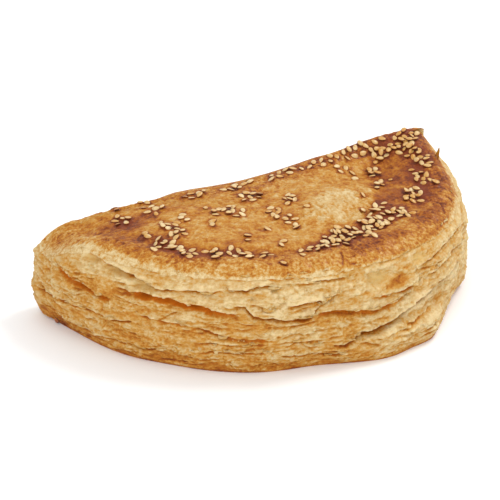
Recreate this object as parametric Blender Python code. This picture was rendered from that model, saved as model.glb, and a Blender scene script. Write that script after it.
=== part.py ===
"""A puff-pastry empanada: a disc of laminated dough folded over its filling, baked, with sesame on top.

Metres, +Z up. The straight fold runs along +X at the back, -Y is the curved open side that shows the
layers, and the origin is under the middle of the whole, on the surface that the pastry rests on.
Directions round the plan are degrees about the arc's centre: 0 is the right end, 270 the front.
"""

import math

import bmesh
import bpy
import numpy as np
from mathutils import Matrix, Vector

MM = 0.001

# Plan of the folded disc
ARC_RADIUS = 75 * MM
FOLD_SETBACK = 11 * MM
CORNER_SHARPNESS = 9
LEFT_END_REACH = 5 * MM
RIGHT_SIDE_BULGE = 2.2 * MM
TOP_CENTRE = Vector((2 * MM, -26 * MM))

# Heights of the crust's rim: the front edge, the blunt left end, and the crest that rises to the right
FRONT_RIM_HEIGHT = 34.5 * MM
LEFT_END_DROP = 8 * MM
CREST_HEIGHT = 38.3 * MM
CREST_RISE = 7.8 * MM
LEFT_CREST_SWELL = 3 * MM
MIDDLE_HEIGHT = 38.5 * MM

# How far the rim and the foot lie inside the widest outline
FRONT_RIM_INSET = 3.5 * MM
FOLD_RIM_INSET = 10 * MM
RIGHT_TIP_INSET = 5.2 * MM
FRONT_FOOT_INSET = 1.5 * MM
FOLD_FOOT_INSET = 7 * MM

# Relief of the top crust. The groove inside the open edge bends further in at its bay and fades out at
# the right end: direction, half width in degrees, and how far or by what share
SHOULDER_RISE = 3 * MM
SHOULDER_WIDTH = 4 * MM
GROOVE_INSET = 16.5 * MM
GROOVE_DEPTH = 0.9 * MM
GROOVE_WIDTH = 4 * MM
GROOVE_BAY = (289, 13, 3.5 * MM)
GROOVE_END = (350, 26, 0.8)

# Bumps and dips of the crust: x and y from the arc's centre, radius, height
CRUST_SWELLS = (
    (18 * MM, -22 * MM, 16 * MM, 1.6 * MM),
    (-30 * MM, -22 * MM, 18 * MM, 1.2 * MM),
    (46 * MM, -10 * MM, 12 * MM, -2.4 * MM),
    (62 * MM, 2 * MM, 10 * MM, 1.5 * MM),
    (-8 * MM, -44 * MM, 10 * MM, -0.8 * MM),
)

# Long crevices of the side: first and last direction, lowest height, the direction of that lowest point,
# rise per squared degree away from it, depth and half width
CREVICES = (
    (203, 302, 17.5 * MM, 272, 0.0021 * MM, 4.2 * MM, 1.7 * MM),
    (271, 319, 9.0 * MM, 278, 0.0075 * MM, 8.0 * MM, 1.7 * MM),
    (180, 207, 20.5 * MM, 197, 0.004 * MM, 2.4 * MM, 1.6 * MM),
    (214, 262, 28.5 * MM, 236, 0.003 * MM, 1.5 * MM, 1.3 * MM),
    (226, 268, 6.5 * MM, 250, 0.002 * MM, 1.4 * MM, 1.2 * MM),
    (318, 372, 22.0 * MM, 340, 0.002 * MM, 1.8 * MM, 1.6 * MM),
)
CREVICE_FADE = 9

# Hollows between the upper layers: direction, height, half width in degrees, half height, depth
HOLLOWS = (
    (187, 27 * MM, 5.0, 2.4 * MM, 1.8 * MM),
    (201, 27 * MM, 4.5, 2.2 * MM, 2.2 * MM),
    (216, 25 * MM, 4.0, 2.6 * MM, 2.4 * MM),
    (283, 27 * MM, 5.0, 2.6 * MM, 2.2 * MM),
    (296, 23 * MM, 3.5, 2.0 * MM, 1.6 * MM),
)

# The lowest sheet, which flares out at the right: direction, half width in degrees, reach
FLARES = ((284, 10, 4.2 * MM), (301, 9, 5.0 * MM))
FLARE_TOP = 8 * MM
# Tucks in the foot: direction, half width in degrees, depth
FOOT_TUCKS = ((190, 12, 2.0 * MM), (224, 10, 1.0 * MM), (262, 9, 2.0 * MM), (321, 8, 4.5 * MM))

# Thin leaves of dough along the side
LEAF_PITCH = 4.2 * MM
LEAF_RELIEF = 0.7 * MM

# Facets of the dough: spans round it, and rings over the top, down the side and across the foot
SPANS = 96
TOP_RINGS = 7
SIDE_RINGS = 18
FOOT_RINGS = 1

# Sesame
SEED_LENGTH = 3.3 * MM
SEED_WIDTH = 2.1 * MM
SEED_THICKNESS = 1.3 * MM
SEED_SUNK = 0.35
SEED_TILT = 16
SEED_SPACING = 2.9 * MM
WELD = 0.03 * MM
THIN = 0.003 * MM
# Clumps of sesame, in millimetres from the arc's centre: x, y, half length, half width, lean in degrees,
# how many
SESAME_CLUMPS = (
    (60, -1, 6, 2.5, 10, 7), (60, -8, 7, 3, 80, 7), (61, -16, 4, 2, 75, 3),
    (50, -3, 5, 3.5, 45, 6), (43, -12, 5, 2, 65, 3), (55, -18, 1, 0.5, 60, 1),
    (56, -27, 4, 2.5, -75, 3), (41, -23, 5, 2, 30, 3), (47, -35, 5, 3, 55, 5),
    (29, -39, 6, 2.5, 30, 4), (35, -45, 6, 3.5, 5, 5), (24, -49, 6, 4, 25, 9),
    (8, -55, 8, 5, 35, 15), (-2, -58, 4, 2, 30, 4), (19, -57, 3, 2, 60, 2),
    (-8, -60, 2, 1.5, 65, 2), (-11, -51, 3, 1, 55, 2), (-17, -64, 1, 0.5, 65, 1),
    (-22, -58, 1, 0.5, 65, 1), (-26, -55, 3, 1.5, 70, 2), (-29, -51, 4, 2.5, -65, 5),
    (-35, -50, 3, 1.5, 65, 2), (-37, -46, 1, 0.5, 70, 1), (-43, -45, 4, 2.5, 70, 4),
    (-48, -35, 4, 3, -50, 5), (-53, -38, 1, 0.5, 70, 1), (-51, -27, 2, 1, 70, 2),
    (-53, -10, 4, 3, -70, 4), (-50, 2, 4, 1, 70, 2), (-55, 5, 1, 0.5, 70, 1),
    (-41, -32, 4, 3, 70, 3), (-41, -24, 4, 3, -65, 3), (-41, -9, 4, 3, -55, 3),
    (-35, -22, 3, 1.5, 70, 2), (-22, -22, 3, 2, 50, 2), (-25, -18, 2, 1, -30, 2),
    (-28, -31, 3, 0.5, 65, 1), (-17, -24, 4, 3.5, 70, 4), (-6, -13, 4, 3.5, 35, 5),
    (-4, -29, 5, 2, 65, 4), (-2, -38, 5, 2, 85, 4), (5, -22, 4, 2, 65, 3),
    (7, -31, 1, 0.5, 65, 1), (-12, -40, 1, 0.5, 65, 1), (-21, -44, 2, 0.5, 65, 1),
    (-41, 2, 3, 1, -25, 2), (-23, -3, 5, 2, 0, 3), (-6, -2, 7, 2, 10, 4),
    (13, -2, 7, 2.5, 10, 4), (27, -2, 7, 2, 10, 4), (41, -1, 6, 2.5, 10, 4),
    (33, -9, 4, 2, -25, 3), (34, -16, 1, 0.5, 65, 1), (29, -31, 2, 0.5, 65, 1),
)
SESAME_SEED = 6


def smooth(low, high, value):
    """0 below low, 1 above high, and an even S between."""
    share = np.clip((value - low) / (high - low), 0, 1)
    return share * share * (3 - 2 * share)


def turn(direction, centre):
    """Signed degrees from centre to direction, between -180 and 180."""
    return (direction - centre + 180) % 360 - 180


def hump(direction, centre, half_width):
    """A smooth hump, 1 at centre."""
    return np.exp(-((turn(direction, centre) / half_width) ** 2))


def plan_radius(direction):
    """From the arc's centre to the widest outline: a circle cut off by the fold, with rounded corners."""
    along_fold = np.maximum(np.sin(np.radians(direction)), 1e-6) / FOLD_SETBACK
    power = CORNER_SHARPNESS
    cut_off = (ARC_RADIUS**-power + along_fold**power) ** (-1 / power)
    left = LEFT_END_REACH * hump(direction, 178, 17)
    right = RIGHT_SIDE_BULGE * hump(direction, 345, 32)
    return cut_off + left + right


def even_directions(shares):
    """Directions that space points evenly along the outline. Shares run from 0 to 1, from the right end."""
    fine = np.linspace(0, 360, 1441)
    x, y = outline(fine)
    walked = np.concatenate([[0], np.cumsum(np.hypot(np.diff(x), np.diff(y)))])
    return np.interp(shares * walked[-1], walked, fine)


def outline(direction):
    """x and y of the widest outline."""
    radius = plan_radius(direction)
    return radius * np.cos(np.radians(direction)), radius * np.sin(np.radians(direction))


def outward(direction):
    """x and y of the outline's unit normal."""
    step = 0.2
    x0, y0 = outline(direction - step)
    x1, y1 = outline(direction + step)
    length = np.hypot(x1 - x0, y1 - y0)
    return (y1 - y0) / length, (x0 - x1) / length


def fold_side(direction):
    """1 along the fold, where the crust wraps round, and 0 along the open side."""
    return smooth(6, 24, 90 - np.abs(turn(direction, 90)))


def crest_height(x):
    """Height of the top along the fold, which rises to the right."""
    left_swell = LEFT_CREST_SWELL * np.exp(-(((x + 57 * MM) / (11 * MM)) ** 2))
    return CREST_HEIGHT + CREST_RISE * smooth(-10 * MM, 62 * MM, x) + left_swell


def rim_height(direction):
    """Height of the crust where the top turns into the side."""
    x, _ = outline(direction)
    right_tip = smooth(-45, 12, turn(direction, 0)) * (1 - smooth(60, 100, np.abs(turn(direction, 0))))
    front = FRONT_RIM_HEIGHT + (crest_height(x) - FRONT_RIM_HEIGHT) * right_tip
    height = front + (crest_height(x) - front) * fold_side(direction)
    return height - LEFT_END_DROP * hump(direction, 180, 11)


def rim_inset(direction):
    inset = FRONT_RIM_INSET + (FOLD_RIM_INSET - FRONT_RIM_INSET) * fold_side(direction)
    return inset + RIGHT_TIP_INSET * hump(direction, 352, 22)


def top_height(x, y, direction, reach, inward):
    """Height of the crust: reach is 0 at the top's centre and 1 at the rim, inward the way to the rim."""
    height = MIDDLE_HEIGHT + (rim_height(direction) - MIDDLE_HEIGHT) * reach**2.4
    open_side = 1 - fold_side(direction)
    rise = SHOULDER_RISE * (1 - np.exp(-inward / SHOULDER_WIDTH))
    bay_at, bay_half, bay = GROOVE_BAY
    end_at, end_half, end_share = GROOVE_END
    groove_inset = GROOVE_INSET - FRONT_RIM_INSET + bay * hump(direction, bay_at, bay_half)
    groove = GROOVE_DEPTH * np.exp(-(((inward - groove_inset) / GROOVE_WIDTH) ** 2))
    groove = groove * (1 - end_share * hump(direction, end_at, end_half))
    height = height + open_side * (rise * reach**3 - groove)
    for swell_x, swell_y, radius, swell in CRUST_SWELLS:
        away = np.hypot(x - swell_x, y - swell_y) / radius
        height = height + swell * np.exp(-(away**2)) * (1 - reach**8)
    return height


def crevice_cut(direction, height):
    """Depth of the long crevices and hollows at a point of the side."""
    depth = np.zeros_like(height)
    for first, last, low, low_at, rise, deep, half_width in CREVICES:
        middle = (first + last) / 2
        half = (last - first) / 2
        along = smooth(-half, CREVICE_FADE - half, turn(direction, middle))
        along = along * smooth(-half, CREVICE_FADE - half, -turn(direction, middle))
        level = low + rise * turn(direction, low_at) ** 2
        depth = depth + deep * along * np.exp(-(((height - level) / half_width) ** 2))
    for at, level, half_turn, half_height, deep in HOLLOWS:
        across = np.exp(-(((height - level) / half_height) ** 2))
        depth = depth + deep * hump(direction, at, half_turn) * across
    return depth


def leaf_relief(direction, height):
    """Thin leaves that stand out by uneven amounts, each with its own slow waves along the side."""
    swing = np.radians(direction)
    wander = 1.1 * MM * np.sin(3 * swing + 0.7) + 0.8 * MM * np.sin(7 * swing + 2.1)
    leaf = (height + wander) / LEAF_PITCH
    number = np.floor(leaf)
    stand = np.sin(5 * swing + 2.4 * number) + 0.8 * np.sin(11 * swing + 1.7 * number + 1)
    lip = 1 - np.abs(2 * (leaf - number) - 1) ** 3
    return LEAF_RELIEF * (0.55 * stand * lip + 0.5 * lip)


def open_side_offset(direction, height, share):
    """Outward offset of the layered side. Share is 0 at the foot and 1 at the rim."""
    offset = -rim_inset(direction) * share**5 - FRONT_FOOT_INSET * (1 - share) ** 8
    offset = offset + leaf_relief(direction, height) * smooth(0, 0.1, share) * smooth(0, 0.12, 1 - share)
    offset = offset - crevice_cut(direction, height)
    low_sheet = 1 - smooth(FLARE_TOP, FLARE_TOP + 4 * MM, height)
    for at, half_width, reach in FLARES:
        offset = offset + reach * hump(direction, at, half_width) * low_sheet
    for at, half_width, tuck in FOOT_TUCKS:
        offset = offset - tuck * hump(direction, at, half_width) * (1 - smooth(0, 11 * MM, height))
    return offset


def dough_points(around, down):
    """Points of the dough: around runs from 0 to 1 along the outline, down counts rings from the top."""
    direction = even_directions(around)
    edge_x, edge_y = outline(direction)
    normal_x, normal_y = outward(direction)
    rim_x = edge_x - normal_x * rim_inset(direction)
    rim_y = edge_y - normal_y * rim_inset(direction)
    closed = fold_side(direction)

    reach = np.clip(down / TOP_RINGS, 0, 1) ** 0.85
    top_x = TOP_CENTRE.x + (rim_x - TOP_CENTRE.x) * reach
    top_y = TOP_CENTRE.y + (rim_y - TOP_CENTRE.y) * reach
    inward = np.hypot(rim_x - top_x, rim_y - top_y)
    top_z = top_height(top_x, top_y, direction, reach, inward)

    fall = np.clip((down - TOP_RINGS) / SIDE_RINGS, 0, 1)
    rim_z = rim_height(direction)
    straight_z = rim_z * (1 - fall)
    round_z = rim_z * (1 + np.cos(np.pi * fall)) / 2
    side_z = straight_z + (round_z - straight_z) * closed
    inset = FOLD_RIM_INSET + (FOLD_FOOT_INSET - FOLD_RIM_INSET) * fall
    round_offset = -inset * (1 - np.sin(np.pi * fall))
    layered_offset = open_side_offset(direction, side_z, 1 - fall)
    offset = layered_offset + (round_offset - layered_offset) * closed
    side_x = edge_x + normal_x * offset
    side_y = edge_y + normal_y * offset

    shrink = np.clip((down - TOP_RINGS - SIDE_RINGS) / (FOOT_RINGS + 1), 0, 1)
    foot_x = side_x + (TOP_CENTRE.x - side_x) * shrink
    foot_y = side_y + (TOP_CENTRE.y - side_y) * shrink

    on_top = down <= TOP_RINGS
    x = np.where(on_top, top_x, foot_x)
    y = np.where(on_top, top_y, foot_y)
    z = np.where(on_top, top_z, side_z)
    return np.stack([x, y, z], -1)


def make_material(name, colour, roughness):
    material = bpy.data.materials.new(name)
    material.use_nodes = True
    shader = material.node_tree.nodes["Principled BSDF"]
    shader.inputs["Base Color"].default_value = (*colour, 1)
    shader.inputs["Roughness"].default_value = roughness
    shader.inputs["Metallic"].default_value = 0
    return material


def make_dough(collection):
    """A sphere's rings drawn out into the folded pastry."""
    rings = TOP_RINGS + SIDE_RINGS + FOOT_RINGS + 1
    shape = bmesh.new()
    bmesh.ops.create_uvsphere(shape, u_segments=SPANS, v_segments=rings, radius=1)
    sphere = np.array([vertex.co for vertex in shape.verts])
    around = (np.degrees(np.arctan2(sphere[:, 1], sphere[:, 0])) % 360) / 360
    down = np.arccos(np.clip(sphere[:, 2], -1, 1)) / math.pi * rings
    for vertex, point in zip(shape.verts, dough_points(around, down)):
        vertex.co = point
    bmesh.ops.triangulate(shape, faces=shape.faces)
    mesh = bpy.data.meshes.new("empanada")
    shape.to_mesh(mesh)
    shape.free()
    mesh.shade_smooth()
    mesh.set_sharp_from_angle(angle=math.radians(50))
    dough = bpy.data.objects.new("empanada", mesh)
    dough.data.materials.append(make_material("baked_dough", (0.66, 0.40, 0.14), 0.55))
    collection.objects.link(dough)
    return dough


def make_seed_mesh():
    """A sesame seed: a flat six-sided drop, narrower at one end and towards its top."""
    shape = bmesh.new()
    bmesh.ops.create_cone(shape, cap_ends=True, segments=6, radius1=0.55, radius2=0.32, depth=1)
    bmesh.ops.triangulate(shape, faces=shape.faces)
    for vertex in shape.verts:
        taper = 1 - 0.35 * vertex.co.x
        vertex.co.x *= SEED_LENGTH
        vertex.co.y *= SEED_WIDTH * taper
        vertex.co.z *= SEED_THICKNESS
    mesh = bpy.data.meshes.new("sesame")
    shape.to_mesh(mesh)
    shape.free()
    return mesh


def seed_places():
    """Where each seed lies and its yaw: even draws in each clump's leaning oval, redrawn if they crowd."""
    draw = np.random.default_rng(SESAME_SEED)
    places = []
    for x, y, half_length, half_width, lean, count in SESAME_CLUMPS:
        lean_turn = Matrix.Rotation(math.radians(lean), 2)
        wanted = len(places) + count
        for _ in range(count * 12):
            reach = math.sqrt(draw.random())
            swing = draw.random() * math.tau
            inside = Vector((half_length * reach * math.cos(swing), half_width * reach * math.sin(swing)))
            place = (Vector((x, y)) + lean_turn @ inside) * MM
            crowded = any((place - other).length < SEED_SPACING for other, _ in places)
            if not crowded and len(places) < wanted:
                places.append((place, draw.random() * math.tau))
    return places


def scatter_sesame(dough, collection):
    """Seeds lie on the crust, sunk a little, each tilted by its own small amount."""
    mesh = make_seed_mesh()
    draw = np.random.default_rng(SESAME_SEED + 1)
    for place, yaw in seed_places():
        hit, point, normal, _ = dough.ray_cast(place.to_3d() + Vector((0, 0, 1)), Vector((0, 0, -1)))
        if not hit:
            continue
        seed = bpy.data.objects.new("sesame", mesh)
        lean = Matrix.Rotation(math.radians(SEED_TILT) * draw.uniform(-1, 1), 4, "Y")
        lie = normal.to_track_quat("Z", "Y").to_matrix().to_4x4()
        lift = Matrix.Translation(point + normal * SEED_THICKNESS * (0.5 - SEED_SUNK))
        seed.matrix_world = lift @ lie @ Matrix.Rotation(yaw, 4, "Z") @ lean
        collection.objects.link(seed)


def weld_short_edges(shape):
    """Pulls the ends of tiny edges together wherever that keeps the skin closed."""
    for edge in [edge for edge in shape.edges if edge.calc_length() < WELD]:
        if not edge.is_valid:
            continue
        first, second = edge.verts
        around_first = {near.other_vert(first) for near in first.link_edges}
        around_second = {near.other_vert(second) for near in second.link_edges}
        if len(around_first & around_second) == 2:
            bmesh.ops.pointmerge(shape, verts=[first, second], merge_co=first.co)


def thin_faces(shape):
    """Faces that are nearly a line, each with its longest edge."""
    thin = []
    for face in shape.faces:
        longest = max(face.edges, key=lambda edge: edge.calc_length())
        if 2 * face.calc_area() < THIN * longest.calc_length():
            thin.append((face, longest))
    return thin


def turn_thin_faces(shape):
    """Turns the longest edge of each face that is nearly a line, unless its far corners already meet."""
    for face, longest in thin_faces(shape):
        if not face.is_valid or not longest.is_valid or len(longest.link_faces) != 2:
            continue
        far = [vertex for near in longest.link_faces for vertex in near.verts if vertex not in longest.verts]
        if not any(edge.other_vert(far[0]) == far[1] for edge in far[0].link_edges):
            bmesh.utils.edge_rotate(longest, False)


def clean_skin(mesh):
    """Slivers of the union go, and specks of air between seeds are filled, so that one skin stays."""
    shape = bmesh.new()
    shape.from_mesh(mesh)
    bmesh.ops.triangulate(shape, faces=shape.faces)
    for _ in range(3):
        weld_short_edges(shape)
        turn_thin_faces(shape)
    unseen = set(shape.verts)
    skins = []
    while unseen:
        front = [unseen.pop()]
        skin = []
        while front:
            vertex = front.pop()
            skin.append(vertex)
            near = {edge.other_vert(vertex) for edge in vertex.link_edges} & unseen
            unseen -= near
            front.extend(near)
        skins.append(skin)
    skins.sort(key=len)
    for skin in skins[:-1]:
        bmesh.ops.delete(shape, geom=skin, context="VERTS")
    open_edges = sum(not edge.is_manifold for edge in shape.edges)
    print("hollows", len(skins) - 1, "open edges", open_edges, "thin faces", len(thin_faces(shape)))
    shape.to_mesh(mesh)
    shape.free()


def fuse(dough, collection):
    """One union of the dough and every seed. The seeds' own objects then go."""
    union = dough.modifiers.new("sesame", "BOOLEAN")
    union.operation = "UNION"
    union.operand_type = "COLLECTION"
    union.collection = collection
    union.solver = "MANIFOLD"
    bpy.context.view_layer.update()
    graph = bpy.context.evaluated_depsgraph_get()
    fused = bpy.data.meshes.new_from_object(dough.evaluated_get(graph))
    dough.modifiers.remove(union)
    clean_skin(fused)
    dough.data = fused
    for seed in list(collection.objects):
        bpy.data.objects.remove(seed)
    bpy.data.collections.remove(collection)


def rest_on_origin(dough):
    """Moves the mesh so that the origin is under the middle of it."""
    corners = np.array([vertex.co for vertex in dough.data.vertices])
    low = corners.min(axis=0)
    high = corners.max(axis=0)
    middle = (low + high) / 2
    dough.data.transform(Matrix.Translation((-middle[0], -middle[1], -low[2])))
    triangles = sum(len(face.vertices) - 2 for face in dough.data.polygons)
    print("arc centre", -middle[:2] / MM, "size", (high - low) / MM, "triangles", triangles)


def main():
    for old in list(bpy.data.objects):
        bpy.data.objects.remove(old)
    pastry = bpy.data.collections.new("empanada")
    sesame = bpy.data.collections.new("sesame")
    bpy.context.scene.collection.children.link(pastry)
    bpy.context.scene.collection.children.link(sesame)
    dough = make_dough(pastry)
    bpy.context.view_layer.update()
    scatter_sesame(dough, sesame)
    fuse(dough, sesame)
    rest_on_origin(dough)


main()
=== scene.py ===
# %% [markdown]
# # A puff-pastry empanada with sesame
# The real thing is a disc of laminated dough folded over its filling. The oven lifts the
# dough into hundreds of thin leaves, which show only along the curved open side. The top
# is one glazed crust, browned most where the glaze pooled around the sesame. This lesson
# builds it as five meshes: the top crust, the layered side, the foot, the seeds, and the
# loose flakes.

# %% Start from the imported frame
import itertools
import math

import bmesh
import bpy
import numpy as np
from mathutils import Matrix, Vector
from mathutils.bvhtree import BVHTree


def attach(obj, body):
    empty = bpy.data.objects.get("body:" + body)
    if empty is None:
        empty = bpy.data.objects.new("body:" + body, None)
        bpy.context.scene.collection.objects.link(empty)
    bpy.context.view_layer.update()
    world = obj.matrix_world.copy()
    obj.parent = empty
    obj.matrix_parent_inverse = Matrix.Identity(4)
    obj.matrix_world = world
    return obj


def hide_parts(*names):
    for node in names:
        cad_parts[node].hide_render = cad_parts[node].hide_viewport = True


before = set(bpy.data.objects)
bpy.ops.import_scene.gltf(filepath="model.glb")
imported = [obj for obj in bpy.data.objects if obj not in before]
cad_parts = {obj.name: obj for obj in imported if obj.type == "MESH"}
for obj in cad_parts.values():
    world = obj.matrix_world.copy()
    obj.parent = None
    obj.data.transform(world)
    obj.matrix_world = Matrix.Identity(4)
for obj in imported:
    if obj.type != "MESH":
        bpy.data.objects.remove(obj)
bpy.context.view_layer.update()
MM = 0.001
ARC_CENTRE = Vector((1.790, 32.783)) * MM

# %% [markdown]
# ## Smooth noise
# Baked dough is uneven at every size, from the lumps of the fold down to the fibres of a
# torn leaf. Blender's noise functions work on one point at a time, which is slow for two
# hundred thousand points, so this is the classic gradient noise written for whole arrays.

# %% Noise for arrays of points
# Large odd numbers, which scatter the codes of neighbouring cells, and one for the seed
SCATTER = np.array([73856093, 19349663, 83492791])
SEED_STEP = 2654435


def grain(x, y, z=0.0, seed=0):
    """Gradient noise between about -1 and 1, with features one unit across."""
    x, y, z = np.broadcast_arrays(x, y, z)
    points = np.stack([x, y, z], -1).astype(float)
    cell = np.floor(points).astype(np.int64)
    inside = points - cell
    ease = inside**3 * (inside * (inside * 6 - 15) + 10)
    total = np.zeros(x.shape)
    for corner in itertools.product((0, 1), repeat=3):
        at = cell + np.array(corner)
        code = np.bitwise_xor.reduce(at * SCATTER, -1) ^ seed * SEED_STEP
        code = (code ^ (code >> 13)) * 1274126177 & 0xFFFFFFFF
        slope = np.stack([(code >> shift & 255) / 127.5 - 1 for shift in (3, 11, 19)], -1)
        share = np.prod(np.where(corner, ease, 1 - ease), -1)
        total += share * ((inside - np.array(corner)) * slope).sum(-1)
    return total * 1.4


def rough(x, y, z=0.0, seed=0, octaves=3):
    """Noise with finer noise on top."""
    return sum(grain(x * 2**k, y * 2**k, z * 2**k, seed + k) / 2**k for k in range(octaves))


def smooth(low, high, value):
    """0 below low, 1 above high, and an even S between."""
    share = np.clip((value - low) / (high - low), 0, 1)
    return share * share * (3 - 2 * share)


def plates(x, y, steps, seed):
    """Thin plates with torn edges: the level of each place, and a number that its plate keeps."""
    field = rough(x, y, seed=seed, octaves=4) * steps
    level = np.floor(field)
    return level + smooth(0, 0.16, field - level), np.sin(level * 2.4 + seed)


def standing(field, rows, columns):
    """How far each point of a ring of points stands above the mean around it."""
    around = field
    for axis, reach, mode in ((0, rows, "edge"), (1, columns, "wrap")):
        pad = [(0, 0), (0, 0)]
        pad[axis] = (reach, reach)
        wide = np.pad(around, pad, mode=mode)
        length, across = around.shape[axis], 2 * reach + 1
        around = sum(wide.take(range(k, k + length), axis) for k in range(across)) / across
    return field - around


print("noise spread", grain(np.random.default_rng(1).random(9999) * 99, 0.5).std().round(2))

# %% [markdown]
# ## The plan of the folded disc
# Seen from above the pastry is a circle cut off by the fold, with rounded corners. Every
# mesh below is laid out from this one outline, so their edges meet without measuring.


# %% The outline and the way along it
def turn(direction, centre):
    """Signed degrees from centre to direction, between -180 and 180."""
    return (direction - centre + 180) % 360 - 180


def hump(direction, centre, half_width):
    return np.exp(-((turn(direction, centre) / half_width) ** 2))


def plan_radius(direction):
    along_fold = np.maximum(np.sin(np.radians(direction)), 1e-6) / 11.0
    cut_off = (75.0**-9 + along_fold**9) ** (-1 / 9)
    return cut_off + 5 * hump(direction, 178, 17) + 2.2 * hump(direction, 345, 32)


def outline(direction):
    radius = plan_radius(direction)
    return radius * np.cos(np.radians(direction)), radius * np.sin(np.radians(direction))


def outward(direction):
    x0, y0 = outline(direction - 0.2)
    x1, y1 = outline(direction + 0.2)
    length = np.hypot(x1 - x0, y1 - y0)
    return (y1 - y0) / length, (x0 - x1) / length


FINE = np.linspace(0, 360, 3601)
WALKED = np.concatenate([[0], np.cumsum(np.hypot(*np.diff(outline(FINE))))])


def direction_at(way):
    """Direction of the point that is way millimetres along the outline from the right end."""
    return np.interp(way % WALKED[-1], WALKED, FINE)


def fold_side(direction):
    """1 along the fold, where the crust wraps round, and 0 along the open side."""
    return smooth(6, 24, 90 - np.abs(turn(direction, 90)))


print("outline is", WALKED[-1].round(1), "mm round")

# %% [markdown]
# ## Heights of the crust
# The pastry rose unevenly: the right end stands highest, the left end is a blunt nose, and
# a groove runs inside the curved edge where the fold was pressed. The height could be
# painted, but as a formula it can be fitted to the photograph one bump at a time. These
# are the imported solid's heights, apart from the left end, which was fitted once more.

# %% Rim and top heights
FRONT_RIM = 34.5
MIDDLE = (2, -26)
MIDDLE_HEIGHT = 38.5
# Bumps and dips of the crust: x and y from the arc's centre, radius, height, in millimetres
CRUST_SWELLS = (
    (18, -22, 16, 1.6), (-30, -22, 18, 1.2), (46, -10, 12, -2.4), (62, 2, 10, 1.5), (-8, -44, 10, -0.8),
)


def crest_height(x):
    return 38.3 + 7.8 * smooth(-10, 62, x) + 3 * np.exp(-(((x + 57) / 11) ** 2))


def rim_height(direction):
    x, _ = outline(direction)
    right_tip = smooth(-45, 12, turn(direction, 0)) * (1 - smooth(60, 100, np.abs(turn(direction, 0))))
    front = FRONT_RIM + (crest_height(x) - FRONT_RIM) * right_tip
    height = front + (crest_height(x) - front) * fold_side(direction)
    return height - 8 * hump(direction, 180, 11) - 1.8 * hump(direction, 173, 9)


def rim_inset(direction):
    return 3.5 + 6.5 * fold_side(direction) + 5.2 * hump(direction, 352, 22)


def top_height(x, y, direction, reach, inward):
    steep = 2.4 + 1.8 * hump(direction, 177, 13)
    height = MIDDLE_HEIGHT + (rim_height(direction) - MIDDLE_HEIGHT) * reach**steep
    rise = 3 * (1 - np.exp(-inward / 4))
    groove = 0.9 * np.exp(-(((inward - 13 - 3.5 * hump(direction, 289, 13)) / 4) ** 2))
    groove = groove * (1 - 0.8 * hump(direction, 350, 26))
    height = height + (1 - fold_side(direction)) * (rise * reach**3 - groove)
    for swell_x, swell_y, radius, swell in CRUST_SWELLS:
        away = np.hypot(x - swell_x, y - swell_y) / radius
        height = height + swell * np.exp(-(away**2)) * (1 - reach**8)
    return height


print("rim from", rim_height(FINE).min().round(1), "to", rim_height(FINE).max().round(1), "mm")

# %% [markdown]
# ## Leaves of the open side
# What makes puff pastry read as puff pastry is the edge of each leaf: the dough stands out
# above it, drops back sharply beneath it, and the gap goes dark. So the side is a list of
# leaf edges. The named ones are the long folds of this pastry, each a line of
# (direction, height) points. Hundreds of short random ones fill the rest.

# %% Named folds and random leaves
# Height under the pale upper rolls, below which the dough is more golden
PALE_LINE = np.array([
    (150, 22), (175, 26), (190, 26), (205, 25.5), (215, 25.8), (228, 25), (240, 22.8), (250, 20.5),
    (264, 20), (278, 17.5), (288, 12), (300, 6), (315, 4), (335, 8), (360, 14), (392, 18),
]).T
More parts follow.
